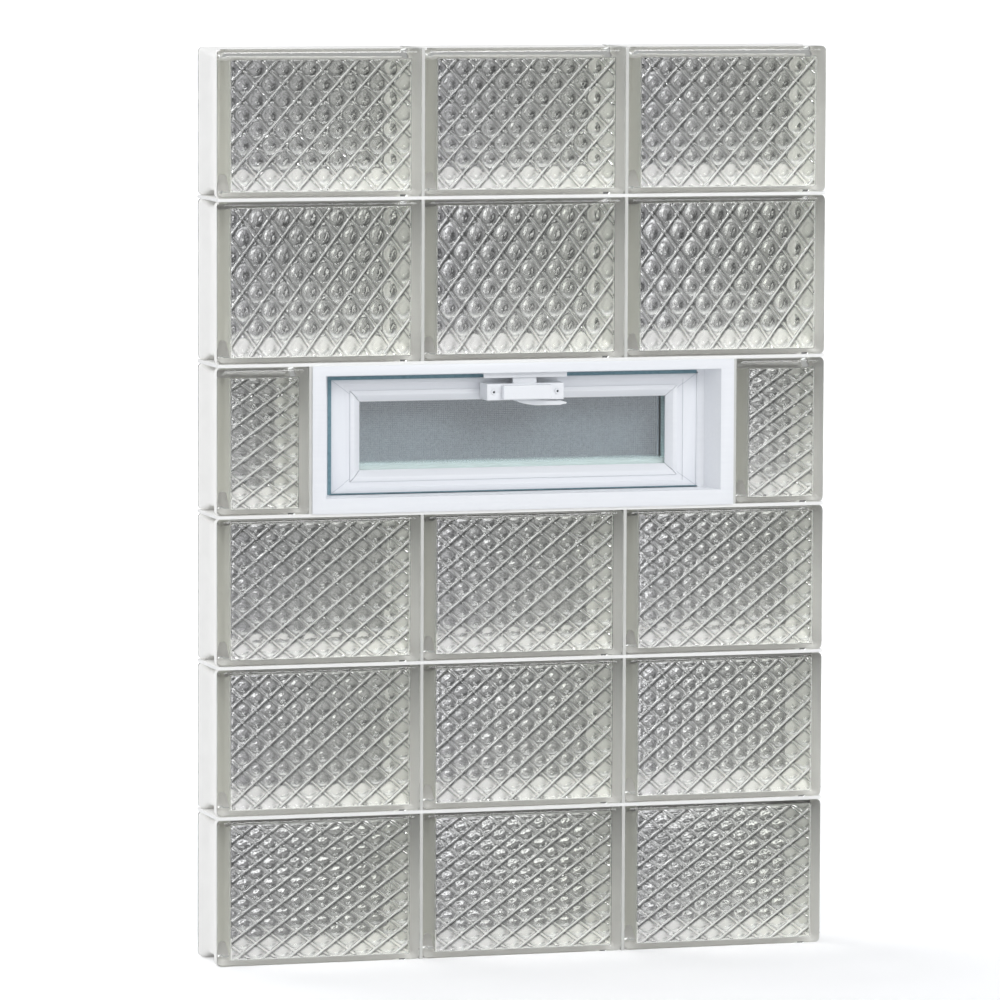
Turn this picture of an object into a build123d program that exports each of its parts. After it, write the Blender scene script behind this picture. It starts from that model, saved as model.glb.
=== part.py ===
"""Prefabricated glass block window with a hopper vent, in millimetres.

The panel stands on its bottom edge. +Z is up, the room side faces -Y, and the
origin is the middle of the bottom edge, half way through the panel. Six courses
of hollow pressed glass blocks are bonded with silicone. The fourth course from
the bottom holds a white PVC hopper vent between two narrow blocks: a welded
outer frame, a sash with a sealed double-glazed unit, a latch and a fly screen.
"""

import os

from build123d import *

# Panel and courses, counted from the bottom
block_depth = 79.4
block_width = 194.8
course_height = 137.0
tall_course_height = 150.0
joint = 3.0
columns = 3
vent_course = 4
tall_course = 5
courses = 6

# Pressed glass block: lips front and back, a keyed channel round the edge, a sealed hollow
corner_cut = 4.0
rim_chamfer = 2.5
lip_depth = 15.0
key_depth = 5.0
key_slope = 8.0
face_thickness = 8.0
side_wall = 10.0
hollow_corner_cut = 5.0
hollow_chamfer = 4.0
seam_width = 3.0
seam_height = 0.8

# Silicone, tooled just below the glass faces
seal_recess = 2.0

# Vent frame: front lip, splayed reveal, shoulder beside the sash, stop behind it
vent_width = 410.0
jamb_lip = 12.6
head_lip = 9.0
sill_lip = 14.0
reveal_depth = 33.0
jamb_splay = 6.0
jamb_shoulder = 6.4
head_shoulder = 5.0
stop_width = 8.0
stop_thickness = 6.0

# Sash, its glazing beads and the sealed unit
sash_gap = 1.5
sash_depth = 32.0
stile_flange = 13.0
rail_flange = 5.0
ledge_width = 5.5
ledge_step = 1.8
bead_width = 10.5
bead_flat = 4.2
bead_rise = 1.3
bead_slope_drop = 5.0
bead_depth = 7.2
mitre_gap = 0.3
pane_thickness = 3.0
pane_gap = 12.0
glazing_clearance = 0.5
spacer_width = 8.5
seal_thickness = 2.0
seal_width = 6.0

# Sash pivots in the jambs
pivot_radius = 2.5
pivot_reach = 6.0
pivot_height = 9.0
pivot_clearance = 0.1

# Latch on the sash's top rail and its keeper under the frame's head
latch_shift = 3.0
latch_base_width = 75.0
latch_base_height = 15.5
latch_base_depth = 24.0
latch_drop = 4.5
latch_plate = 3.0
latch_cover_width = 47.0
latch_cover_height = 13.0
latch_cover_depth = 8.0
latch_edge_radius = 1.0
latch_screw_spacing = 62.0
latch_screw_radius = 2.8
latch_screw_head = 1.2
latch_shank_radius = 1.5
latch_shank_bite = 6.5
tongue_width = 23.0
tongue_thickness = 3.5
tongue_bite = 6.0
tongue_setback = 2.5
keeper_length = 81.0
keeper_leg = 14.0
keeper_plate = 2.0
keeper_lip = 3.5
keeper_clearance = 0.5
lever_length = 47.0
lever_width = 13.0
lever_thickness = 5.4
lever_root_thickness = 1.4
lever_sweep = 13.0
lever_edge = 1.4
lever_tail = 3.5
lever_gap = 0.4
lever_pin_radius = 3.0
lever_pin_length = 6.0
lever_pin_clearance = 0.15
lever_pin_end_gap = 1.0

# Fly screen in the outside of the frame
screen_clearance = 0.5
screen_bar_width = 9.0
screen_bar_depth = 4.5
screen_rebate = 3.0
screen_cloth_thickness = 0.6
weep_slot_length = 20.0
weep_slot_height = 3.0
weep_slot_depth = 4.0
weep_slot_spacing = 240.0
weep_slot_rise = 5.0

# Places worked out from the sizes above
panel_width = columns * block_width + (columns - 1) * joint
front_y = -block_depth / 2
course_heights = [course_height] * courses
course_heights[tall_course - 1] = tall_course_height
course_bottoms = [sum(course_heights[:i]) + i * joint for i in range(courses)]
vent_height = course_heights[vent_course - 1]
vent_bottom = course_bottoms[vent_course - 1]
vent_middle = vent_bottom + vent_height / 2
vent_top = vent_bottom + vent_height
narrow_width = (panel_width - vent_width) / 2 - joint
column_names = {-1: "left", 0: "middle", 1: "right"}


def front_plane(x, z, y=0.0):
    """A plane seen from the room side, with its normal towards -Y."""
    return Plane(origin=(x, y, z), x_dir=(1, 0, 0), z_dir=(0, -1, 0))


def cut_rectangle(width, height, corner):
    """A rectangle with its corners cut off, drawn into the sketch that is open."""
    rectangle = Rectangle(width, height)
    chamfer(rectangle.vertices(), corner)


def layer(back, front, outline, front_outline=None):
    """A slab between two depths, tapered where the front outline differs."""
    with BuildPart() as slab:
        with BuildSketch(front_plane(0, 0, back)):
            cut_rectangle(*outline)
        if front_outline is None:
            extrude(amount=back - front)
        else:
            with BuildSketch(front_plane(0, 0, front)):
                cut_rectangle(*front_outline)
            loft(ruled=True)
    return slab.part


def inset(outline, amount):
    """The outline moved in by an amount, with its corner cut kept in proportion."""
    return (outline[0] - 2 * amount, outline[1] - 2 * amount, outline[2] - amount * (2 - 2 ** 0.5))


def glass_block(width, height):
    """Two pressed halves fused at the middle, with a raised seam in the keyed channel."""
    lip_back = front_y + lip_depth
    key_back = lip_back + key_slope
    lip = (width, height, corner_cut)
    waist = (width - 2 * key_depth, height - 2 * key_depth, corner_cut)
    seam = (waist[0] + 2 * seam_height, waist[1] + 2 * seam_height, corner_cut)
    hollow = (width - 2 * side_wall, height - 2 * side_wall, hollow_corner_cut)
    hollow_front = front_y + face_thickness
    hollow_edge = hollow_front + hollow_chamfer
    with BuildPart() as block:
        add(layer(0, key_back, waist))
        add(layer(0, -seam_width / 2, seam))
        add(layer(key_back, lip_back, waist, lip))
        add(layer(lip_back, front_y + rim_chamfer, lip))
        add(layer(front_y + rim_chamfer, front_y, lip, inset(lip, rim_chamfer)))
        add(layer(0, hollow_edge, hollow), mode=Mode.SUBTRACT)
        add(layer(hollow_edge, hollow_front, hollow, inset(hollow, hollow_chamfer)), mode=Mode.SUBTRACT)
        mirror(about=Plane.XZ)
    return block.part


def bar(x, y, z):
    """A straight box between two values along each axis."""
    with BuildPart() as solid:
        with Locations(((x[0] + x[1]) / 2, (y[0] + y[1]) / 2, (z[0] + z[1]) / 2)):
            Box(x[1] - x[0], y[1] - y[0], z[1] - z[0])
    return solid.part


def ring(half_width, z, bar_width, y, bar_height=None):
    """A rectangular ring about the vent's middle, facing the room."""
    bar_height = bar_height or bar_width
    with BuildPart() as solid:
        with BuildSketch(front_plane(0, (z[0] + z[1]) / 2, y[1])):
            Rectangle(2 * half_width, z[1] - z[0])
            Rectangle(
                2 * (half_width - bar_width), z[1] - z[0] - 2 * bar_height, mode=Mode.SUBTRACT
            )
        extrude(amount=y[1] - y[0])
    return solid.part


def profile_bar(plane, points, length):
    """A closed outline drawn on a plane and extruded along its normal."""
    with BuildPart() as solid:
        with BuildSketch(plane):
            with BuildLine():
                Polyline(*points, close=True)
            make_face()
        extrude(amount=length)
    return solid.part


def save(part, name):
    part.label = name
    export_step(part, f"parts/{name}.step")


os.makedirs("parts", exist_ok=True)

# Glass blocks, course by course: like ones are copies of one block
narrow_x = (vent_width + narrow_width) / 2 + joint
for course, (bottom, height) in enumerate(zip(course_bottoms, course_heights), start=1):
    if course == vent_course:
        places = {"left": -narrow_x, "right": narrow_x}
        block = glass_block(narrow_width, height)
    else:
        places = {name: i * (block_width + joint) for i, name in column_names.items()}
        block = glass_block(block_width, height)
    for name, x in places.items():
        save(block.moved(Location((x, 0, bottom + height / 2))), f"block_course{course}_{name}")

# Silicone beds over each course, and upright joints between the blocks of a course
seal_y = (front_y + seal_recess, -front_y - seal_recess)
for course, (bottom, height) in enumerate(zip(course_bottoms[:-1], course_heights), start=1):
    z = (bottom + height, bottom + height + joint)
    save(bar((-panel_width / 2, panel_width / 2), seal_y, z), f"silicone_bed_{course}")
for side, name in ((-1, "left"), (1, "right")):
    with BuildPart() as uprights:
        for course, (bottom, height) in enumerate(zip(course_bottoms, course_heights), start=1):
            inner = vent_width / 2 if course == vent_course else block_width / 2
            x = sorted((side * inner, side * (inner + joint)))
            add(bar(x, seal_y, (bottom, bottom + height)))
    save(uprights.part, f"silicone_uprights_{name}")

# Depths of the vent's layers, from the room side out
sash_front = front_y + reveal_depth
sash_back = sash_front + sash_depth
stop_front = sash_back + seal_thickness
stop_back = stop_front + stop_thickness
reveal_half = vent_width / 2 - jamb_lip
opening_half = reveal_half - jamb_splay - jamb_shoulder
reveal_z = (vent_bottom + sill_lip, vent_top - head_lip)
opening_z = (reveal_z[0], reveal_z[1] - head_shoulder)

# Sash outline and the daylight opening inside its beads
sash_half = opening_half - sash_gap
sash_z = (opening_z[0] + sash_gap, opening_z[1] - sash_gap)
ledge_half = sash_half - stile_flange
ledge_z = (sash_z[0] + rail_flange, sash_z[1] - rail_flange)
bead_half = ledge_half - ledge_width
bead_z = (ledge_z[0] + ledge_width, ledge_z[1] - ledge_width)
pocket_half = ledge_half - ledge_width
ledge_front = sash_front + ledge_step
bead_back = ledge_front - bead_rise + bead_depth
unit_front = bead_back + seal_thickness
unit_back = unit_front + 2 * pane_thickness + pane_gap
unit_half = pocket_half - glazing_clearance
unit_z = (bead_z[0] + glazing_clearance, bead_z[1] - glazing_clearance)
daylight_half = bead_half - bead_width
daylight_z = (bead_z[0] + bead_width, bead_z[1] - bead_width)

# Pivot and latch places
pivot_z = sash_z[0] + pivot_height
pivot_y = (sash_front + sash_back) / 2
latch_x = latch_shift
latch_top = sash_z[1] - latch_drop
latch_bottom = latch_top - latch_base_height
latch_middle = (latch_top + latch_bottom) / 2
latch_front = sash_front - latch_base_depth

# Vent frame: jamb profile seen from above, head and sill profiles seen from the side
jamb_profile = [
    (vent_width / 2, front_y),
    (reveal_half, front_y),
    (reveal_half - jamb_splay, sash_front),
    (opening_half, sash_front),
    (opening_half, stop_front),
    (opening_half - stop_width, stop_front),
    (opening_half - stop_width, stop_back),
    (opening_half, stop_back),
    (opening_half, -front_y),
    (vent_width / 2, -front_y),
]
head_profile = [
    (front_y, vent_top),
    (front_y, reveal_z[1]),
    (sash_front, reveal_z[1]),
    (sash_front, opening_z[1]),
    (stop_front, opening_z[1]),
    (stop_front, opening_z[1] - stop_width),
    (stop_back, opening_z[1] - stop_width),
    (stop_back, opening_z[1]),
    (-front_y, opening_z[1]),
    (-front_y, vent_top),
]
sill_profile = [
    (front_y, vent_bottom),
    (front_y, opening_z[0]),
    (stop_front, opening_z[0]),
    (stop_front, opening_z[0] + stop_width),
    (stop_back, opening_z[0] + stop_width),
    (stop_back, opening_z[0]),
    (-front_y, opening_z[0]),
    (-front_y, vent_bottom),
]
jamb_plane = Plane(origin=(0, 0, vent_bottom))
side_plane = Plane(origin=(-vent_width / 2, 0, 0), x_dir=(0, 1, 0), z_dir=(1, 0, 0))
with BuildPart() as vent_frame:
    add(profile_bar(side_plane, head_profile, vent_width))
    add(profile_bar(side_plane, sill_profile, vent_width))
    for side in (-1, 1):
        points = [(side * x, y) for x, y in jamb_profile]
        add(profile_bar(jamb_plane, points, vent_height))
        with Locations(Location((side * (sash_half + pivot_reach / 2), pivot_y, pivot_z), (0, 90, 0))):
            Cylinder(pivot_radius + pivot_clearance, pivot_reach, mode=Mode.SUBTRACT)
    for side in (-1, 1):
        with Locations((side * weep_slot_spacing / 2, -front_y, vent_bottom + weep_slot_rise)):
            Box(weep_slot_length, 2 * weep_slot_depth, weep_slot_height, mode=Mode.SUBTRACT)
save(vent_frame.part, "vent_frame")

# Sash: flange, lower ledge and a back leg that the sealed unit rests against
with BuildPart() as sash_frame:
    add(ring(sash_half, sash_z, stile_flange, (sash_front, sash_back), rail_flange))
    add(ring(ledge_half, ledge_z, ledge_width, (ledge_front, sash_back)))
    add(ring(pocket_half, bead_z, bead_width, (unit_back, sash_back)))
    for side in (-1, 1):
        with Locations(Location((side * (sash_half - pivot_reach / 2), pivot_y, pivot_z), (0, 90, 0))):
            Cylinder(pivot_radius, pivot_reach, mode=Mode.SUBTRACT)
save(sash_frame.part, "sash_frame")

# Pivot pins, half in the sash and half in the jamb
for side, name in ((-1, "left"), (1, "right")):
    with BuildPart() as pivot_pin:
        with Locations(Location((side * sash_half, pivot_y, pivot_z), (0, 90, 0))):
            Cylinder(pivot_radius, 2 * pivot_reach - 2 * pivot_clearance)
    save(pivot_pin.part, f"pivot_pin_{name}")

# Weather seal between the sash's back and the frame's stop
with BuildPart() as weather_seal:
    seal_half = opening_half - stop_width + seal_width
    seal_z = (opening_z[0] + stop_width - seal_width, opening_z[1] - stop_width + seal_width)
    add(ring(seal_half, seal_z, seal_width, (sash_back, stop_front)))
save(weather_seal.part, "weather_seal")

# Sealed unit: two panes on a spacer
panes = {
    "inner_pane": (unit_front, unit_front + pane_thickness),
    "outer_pane": (unit_back - pane_thickness, unit_back),
}
for name, y in panes.items():
    save(bar((-unit_half, unit_half), y, unit_z), name)
gap_y = (unit_front + pane_thickness, unit_back - pane_thickness)
save(ring(unit_half, unit_z, spacer_width, gap_y), "pane_spacer")
save(ring(unit_half, unit_z, seal_width, (bead_back, unit_front)), "glazing_gasket")

# Glazing beads, mitred at the corners: a flat, then a slope down to the glass
bead_front = ledge_front - bead_rise
bead_middle = (bead_z[0] + bead_z[1]) / 2
bead_half_height = bead_z[1] - bead_middle
slope_outline = (2 * (bead_half - bead_flat), 2 * (bead_half_height - bead_flat))
throat_outline = (2 * daylight_half, 2 * (bead_half_height - bead_width))
with BuildPart() as bead_splay:
    with BuildSketch(front_plane(0, bead_middle, bead_front)):
        Rectangle(*slope_outline)
    with BuildSketch(front_plane(0, bead_middle, bead_front + bead_slope_drop)):
        Rectangle(*throat_outline)
    loft(ruled=True)


def glazing_bead(corners):
    """One bead with mitred ends, splayed towards the glass."""
    with BuildPart() as bead:
        with BuildSketch(front_plane(0, bead_middle, bead_back)):
            with BuildLine():
                Polyline(*corners, close=True)
            make_face()
        extrude(amount=bead_depth)
        add(bead_splay.part, mode=Mode.SUBTRACT)
    return bead.part


for side, name in ((-1, "left"), (1, "right")):
    outer = bead_half_height - mitre_gap
    inner = outer - bead_width
    x = (side * bead_half, side * daylight_half)
    corners = [(x[0], -outer), (x[0], outer), (x[1], inner), (x[1], -inner)]
    save(glazing_bead(corners), f"glazing_bead_{name}")
for side, name in ((-1, "bottom"), (1, "top")):
    outer = bead_half - mitre_gap
    inner = outer - bead_width
    z = (side * bead_half_height, side * (bead_half_height - bead_width))
    corners = [(-outer, z[0]), (outer, z[0]), (inner, z[1]), (-inner, z[1])]
    with BuildPart() as bead:
        add(glazing_bead(corners))
        if name == "top":
            with Locations(Location((latch_x, sash_front, latch_middle), (90, 0, 0))):
                with GridLocations(latch_screw_spacing, 1, 2, 1):
                    Cylinder(latch_shank_radius, 2 * latch_shank_bite, mode=Mode.SUBTRACT)
    save(bead.part, f"glazing_bead_{name}")

# Latch base: a deep box with a back plate that reaches up over the sash's flange
tongue_front = latch_front + tongue_setback
tongue_y = (tongue_front, tongue_front + tongue_thickness)
tongue_x = (latch_x - tongue_width / 2, latch_x + tongue_width / 2)
keeper_bottom = reveal_z[1] - keeper_plate
tongue_z = (latch_top - tongue_bite, keeper_bottom - keeper_clearance)
base_x = (latch_x - latch_base_width / 2, latch_x + latch_base_width / 2)
with BuildPart() as latch_base:
    add(bar(base_x, (latch_front, sash_front), (latch_bottom, latch_top)))
    fillet(latch_base.faces().sort_by(Axis.Y)[0].edges(), latch_edge_radius)
    add(bar(base_x, (sash_front - latch_plate, sash_front), (latch_bottom, sash_z[1])))
    add(bar(tongue_x, tongue_y, tongue_z), mode=Mode.SUBTRACT)
    with Locations((latch_x, (latch_front + sash_front) / 2, latch_bottom + lever_pin_length / 2)):
        Cylinder(lever_pin_radius + lever_pin_clearance, lever_pin_length, mode=Mode.SUBTRACT)
    with Locations(Location((latch_x, (latch_front + sash_front) / 2, latch_middle), (90, 0, 0))):
        with GridLocations(latch_screw_spacing, 1, 2, 1):
            Cylinder(latch_shank_radius, latch_base_depth, mode=Mode.SUBTRACT)
save(latch_base.part, "latch_base")

with BuildPart() as latch_cover:
    with Locations((latch_x, latch_front - latch_cover_depth / 2, latch_middle)):
        Box(latch_cover_width, latch_cover_depth, latch_cover_height)
    fillet(latch_cover.faces().sort_by(Axis.Y)[0].edges(), latch_edge_radius)
save(latch_cover.part, "latch_cover")
save(bar(tongue_x, tongue_y, tongue_z), "latch_tongue")

# Screws through the base's ears into the sash
for side, name in ((-1, "left"), (1, "right")):
    screw_x = latch_x + side * latch_screw_spacing / 2
    shank = latch_base_depth + latch_shank_bite
    with BuildPart() as latch_screw:
        with Locations(Location((screw_x, latch_front - latch_screw_head / 2, latch_middle), (90, 0, 0))):
            Cylinder(latch_screw_radius, latch_screw_head)
        with Locations(Location((screw_x, latch_front + shank / 2, latch_middle), (90, 0, 0))):
            Cylinder(latch_shank_radius, shank)
    save(latch_screw.part, f"latch_screw_{name}")

# Lever below the base, swept up to its root, with its pin in the base
lever_top = latch_bottom - lever_gap
lever_low = lever_top - lever_thickness
lever_start = latch_x - lever_pin_radius - lever_tail
lever_end = lever_start + lever_length
lever_y = (latch_front + sash_front) / 2
lever_profile = [
    (lever_start, lever_top),
    (lever_end - lever_edge, lever_top),
    (lever_end, lever_top - lever_edge),
    (lever_end, lever_low + lever_edge),
    (lever_end - lever_edge, lever_low),
    (lever_start + lever_sweep, lever_low),
    (lever_start, lever_top - lever_root_thickness),
]
with BuildPart() as latch_lever:
    with BuildSketch(front_plane(0, 0, lever_y + lever_width / 2)):
        with BuildLine():
            Polyline(*lever_profile, close=True)
        make_face()
    extrude(amount=lever_width)
    with BuildSketch(Plane.XY.offset(lever_low)):
        with Locations(((lever_start + lever_end) / 2, lever_y)):
            SlotOverall(lever_length + lever_edge, lever_width)
    extrude(amount=lever_thickness, mode=Mode.INTERSECT)
    pin_length = lever_pin_length - lever_pin_end_gap
    with Locations((latch_x, lever_y, lever_top + pin_length / 2)):
        Cylinder(lever_pin_radius, pin_length)
save(latch_lever.part, "latch_lever")

# Keeper under the frame's head: a plate with a lip in front of the tongue
keeper_back_of_lip = tongue_front - keeper_clearance
keeper_front = keeper_back_of_lip - keeper_plate
keeper_x = (latch_x - keeper_length / 2, latch_x + keeper_length / 2)
with BuildPart() as latch_keeper:
    add(bar(keeper_x, (keeper_front, keeper_front + keeper_leg), (keeper_bottom, reveal_z[1])))
    add(bar(keeper_x, (keeper_front, keeper_back_of_lip), (keeper_bottom - keeper_lip, reveal_z[1])))
save(latch_keeper.part, "latch_keeper")

# Fly screen against the back of the stop, its cloth in a rebate
screen_half = opening_half - screen_clearance
screen_z = (opening_z[0] + screen_clearance, opening_z[1] - screen_clearance)
screen_back = stop_back + screen_bar_depth
cloth_front = screen_back - screen_cloth_thickness
cloth_inset = screen_bar_width - screen_rebate
with BuildPart() as screen_frame:
    add(ring(screen_half, screen_z, screen_bar_width, (stop_back, cloth_front)))
    add(ring(screen_half, screen_z, cloth_inset, (cloth_front, screen_back)))
save(screen_frame.part, "screen_frame")
cloth_x = (-screen_half + cloth_inset, screen_half - cloth_inset)
cloth_z = (screen_z[0] + cloth_inset, screen_z[1] - cloth_inset)
save(bar(cloth_x, (cloth_front, screen_back), cloth_z), "screen_cloth")
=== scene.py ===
"""Glass block window with a hopper vent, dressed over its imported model."""

from math import cos, hypot, radians, sin, sqrt

import bmesh
import bpy
from mathutils import Matrix, Vector


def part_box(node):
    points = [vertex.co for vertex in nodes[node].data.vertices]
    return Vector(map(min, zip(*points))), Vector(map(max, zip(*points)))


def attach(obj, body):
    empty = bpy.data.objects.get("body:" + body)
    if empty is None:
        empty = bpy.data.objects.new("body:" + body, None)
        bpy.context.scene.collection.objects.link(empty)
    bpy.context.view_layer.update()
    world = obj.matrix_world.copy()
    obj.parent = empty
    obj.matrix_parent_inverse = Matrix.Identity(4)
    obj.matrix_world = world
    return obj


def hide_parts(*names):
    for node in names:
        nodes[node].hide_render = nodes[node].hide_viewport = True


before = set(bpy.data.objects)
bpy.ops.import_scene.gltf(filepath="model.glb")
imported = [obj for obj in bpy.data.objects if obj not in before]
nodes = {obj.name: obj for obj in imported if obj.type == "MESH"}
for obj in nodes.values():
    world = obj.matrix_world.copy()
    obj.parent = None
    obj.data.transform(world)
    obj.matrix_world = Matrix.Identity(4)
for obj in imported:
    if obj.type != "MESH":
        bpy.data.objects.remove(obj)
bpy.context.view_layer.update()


# Glass blocks
# A pressed soda-lime block is two cast halves fused at the middle. The inside of each face
# carries the pressed lattice and its bosses, and the edge is coated white between the lips.

def linear(hex_colour):
    """The linear RGBA of an sRGB hex colour."""
    channels = [int(hex_colour[i:i + 2], 16) / 255 for i in (1, 3, 5)]
    return [c / 12.92 if c <= 0.04045 else ((c + 0.055) / 1.055) ** 2.4 for c in channels] + [1.0]


def add_node(tree, kind, settings=None, links=None):
    """Adds a node, sets its properties and sockets, and links sockets into it.

    A socket goes by its name or its number. Numbers 1 to 4 of a Map Range are the ends of
    the range before and after, and a mix has its share at 0 and what it mixes at 1 and 2.
    """
    node = tree.nodes.new(kind)
    for name, value in (settings or {}).items():
        if isinstance(name, str) and hasattr(node, name):
            setattr(node, name, value)
        else:
            node.inputs[name].default_value = value
    for name, source in (links or {}).items():
        tree.links.new(source, node.inputs[name])
    return node


def new_material(name):
    """A material with an empty node tree, and the tree."""
    material = bpy.data.materials.new(name)
    material.use_nodes = True
    material.node_tree.nodes.clear()
    return material, material.node_tree


def finish_material(tree, shader):
    """Links the shader to the material's output."""
    add_node(tree, "ShaderNodeOutputMaterial", links={"Surface": shader})


def let_lamps_in(tree, surface, share=1.0, tint="#FFFFFF"):
    """Lets this share of the lamp light pass straight through a surface, tinted."""
    lamp_light = add_node(tree, "ShaderNodeBsdfTransparent", {"Color": linear(tint)})
    path = add_node(tree, "ShaderNodeLightPath")
    let_in = path.outputs["Is Shadow Ray"]
    if share < 1.0:
        dimmed = add_node(tree, "ShaderNodeMath", {"operation": "MULTIPLY", 1: share}, {0: let_in})
        let_in = dimmed.outputs[0]
    mixed = add_node(tree, "ShaderNodeMixShader", links={
        0: let_in, 1: surface, 2: lamp_light.outputs[0],
    })
    return mixed.outputs[0]


# Clear soda-lime glass with the soft ripple that a cast surface keeps, about 20 mm across,
# and lamps reach through it
block_glass, tree = new_material("pressed soda-lime glass")
place = add_node(tree, "ShaderNodeTexCoord")
ripple = add_node(tree, "ShaderNodeTexNoise", {"Scale": 50.0, "Detail": 1.0}, {
    "Vector": place.outputs["Object"],
})
ripple_bump = add_node(tree, "ShaderNodeBump", {"Strength": 0.08, "Distance": 0.002}, {
    "Height": ripple.outputs["Fac"],
})
glass = add_node(tree, "ShaderNodeBsdfPrincipled", {
    "Base Color": linear("#F5F7F5"), "Roughness": 0.03, "IOR": 1.52, "Transmission Weight": 1.0,
}, {"Normal": ripple_bump.outputs["Normal"]})
finish_material(tree, let_lamps_in(tree, glass.outputs[0]))

# The same glass on the pressed side, with painted shade and light: painted shade in the
# creases of the pattern, a painted tint that is cooler to the left and olive to the right,
# and painted white highlights on the crests, more so towards the lower right. The cold
# plunger leaves a skin uneven over 6 mm
relief_glass, tree = new_material("pressed glass relief")
# Painted shade, from this attribute, darkens the creases over a painted tint across the pane
painted_crease_shade = add_node(tree, "ShaderNodeAttribute", {"attribute_name": "painted_crease_shade"})
across = add_node(tree, "ShaderNodeAttribute", {"attribute_name": "across"})
tint = add_node(tree, "ShaderNodeValToRGB", links={"Fac": across.outputs["Fac"]})
tint.color_ramp.elements[0].color = linear("#F0EEF5")
tint.color_ramp.elements[1].color = linear("#F1F2E9")
body = add_node(tree, "ShaderNodeMixRGB", {"Color2": linear("#1E201E")}, {
    "Fac": painted_crease_shade.outputs["Fac"], "Color1": tint.outputs[0],
})
place = add_node(tree, "ShaderNodeTexCoord")
chill = add_node(tree, "ShaderNodeTexNoise", {"Scale": 170.0, "Detail": 2.0}, {
    "Vector": place.outputs["Object"],
})
bump = add_node(tree, "ShaderNodeBump", {"Strength": 0.45, "Distance": 0.001}, {
    "Height": chill.outputs["Fac"],
})
glass = add_node(tree, "ShaderNodeBsdfPrincipled", {
    "Roughness": 0.04, "IOR": 1.52, "Transmission Weight": 1.0,
}, {"Base Color": body.outputs[0], "Normal": bump.outputs["Normal"]})
# Painted highlight, from this attribute, whitens the crests
painted_crest_highlight = add_node(tree, "ShaderNodeAttribute", {"attribute_name": "painted_crest_highlight"})
painted_highlight_share = add_node(tree, "ShaderNodeMath", {"operation": "MULTIPLY", 1: 0.95}, {
    0: painted_crest_highlight.outputs["Fac"],
})
painted_highlight_white = add_node(tree, "ShaderNodeBsdfDiffuse", {"Color": linear("#FFFFFC")})
with_painted_highlight = add_node(tree, "ShaderNodeMixShader", links={
    0: painted_highlight_share.outputs[0], 1: glass.outputs[0], 2: painted_highlight_white.outputs[0],
})
finish_material(tree, let_lamps_in(tree, with_painted_highlight.outputs[0]))

# White edge paint, dip coated and matt, a little warm, with a faint mottle about 17 mm
# across from the dip, and thin enough to let four tenths of the lamp light into the glass
edge_coat, tree = new_material("white edge coat")
place = add_node(tree, "ShaderNodeTexCoord")
mottle = add_node(tree, "ShaderNodeTexNoise", {"Scale": 60.0, "Detail": 3.0}, {
    "Vector": place.outputs["Object"],
})
shade = add_node(tree, "ShaderNodeValToRGB", links={"Fac": mottle.outputs["Fac"]})
shade.color_ramp.elements[0].color = linear("#F0EFEC")
shade.color_ramp.elements[1].color = linear("#F9F8F5")
bump = add_node(tree, "ShaderNodeBump", {"Strength": 0.2, "Distance": 0.0004}, {
    "Height": mottle.outputs["Fac"],
})
coat = add_node(tree, "ShaderNodeBsdfPrincipled", {"Roughness": 0.7}, {
    "Base Color": shade.outputs[0], "Normal": bump.outputs["Normal"],
})
finish_material(tree, let_lamps_in(tree, coat.outputs[0], share=0.42))

# The side walls of the hollow keep the grain of the mould, in patches about 12 mm across, so
# they look frosted and light soaks through them. The left one is greyer with painted shade,
# for the thick border it is seen through. The top and bottom walls are painted, as the edge is
draft_wall, tree = new_material("frosted glass wall")
place = add_node(tree, "ShaderNodeTexCoord")
grain = add_node(tree, "ShaderNodeTexNoise", {"Scale": 80.0, "Detail": 3.0}, {
    "Vector": place.outputs["Object"],
})
shade = add_node(tree, "ShaderNodeValToRGB", links={"Fac": grain.outputs["Fac"]})
shade.color_ramp.elements[0].color = linear("#F3F3EF")
shade.color_ramp.elements[1].color = linear("#FBFBF8")
across = add_node(tree, "ShaderNodeAttribute", {"attribute_name": "across"})
# Painted shade greys the wall towards the left
left_painted_shade_fade = add_node(tree, "ShaderNodeMapRange", {1: 0.16, 2: 0.26, 3: 0.0, 4: 1.0}, {
    0: across.outputs["Fac"],
})
shade = add_node(tree, "ShaderNodeMixRGB", {"Color1": linear("#DDDDD5")}, {
    "Fac": left_painted_shade_fade.outputs[0], "Color2": shade.outputs[0],
})
frost = add_node(tree, "ShaderNodeBsdfPrincipled", {"Roughness": 0.7}, {
    "Base Color": shade.outputs[0],
})
soaked = add_node(tree, "ShaderNodeBsdfTranslucent", links={"Color": shade.outputs[0]})
milky = add_node(tree, "ShaderNodeMixShader", {0: 0.2}, {
    1: frost.outputs[0], 2: soaked.outputs[0],
})
finish_material(tree, let_lamps_in(tree, milky.outputs[0], share=0.75))

# The bare lip is looked through edgewise, and its glass is painted a little greyer than the
# face as painted shade for that, unevenly over about 11 mm, where the mould was closed
lip_glass, tree = new_material("pressed glass lip")
place = add_node(tree, "ShaderNodeTexCoord")
uneven = add_node(tree, "ShaderNodeTexNoise", {"Scale": 90.0, "Detail": 1.0}, {
    "Vector": place.outputs["Object"],
})
shade = add_node(tree, "ShaderNodeValToRGB", links={"Fac": uneven.outputs["Fac"]})
shade.color_ramp.elements[0].color = linear("#B4B7B8")
shade.color_ramp.elements[1].color = linear("#D6D8D6")
glass = add_node(tree, "ShaderNodeBsdfPrincipled", {
    "Roughness": 0.15, "IOR": 1.52, "Transmission Weight": 1.0,
}, {"Base Color": shade.outputs[0]})
finish_material(tree, let_lamps_in(tree, glass.outputs[0]))

block_materials = (block_glass, edge_coat, relief_glass, lip_glass, draft_wall)
clear_part, painted_part, relief_part, bare_part, frosted_part = range(len(block_materials))

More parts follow.
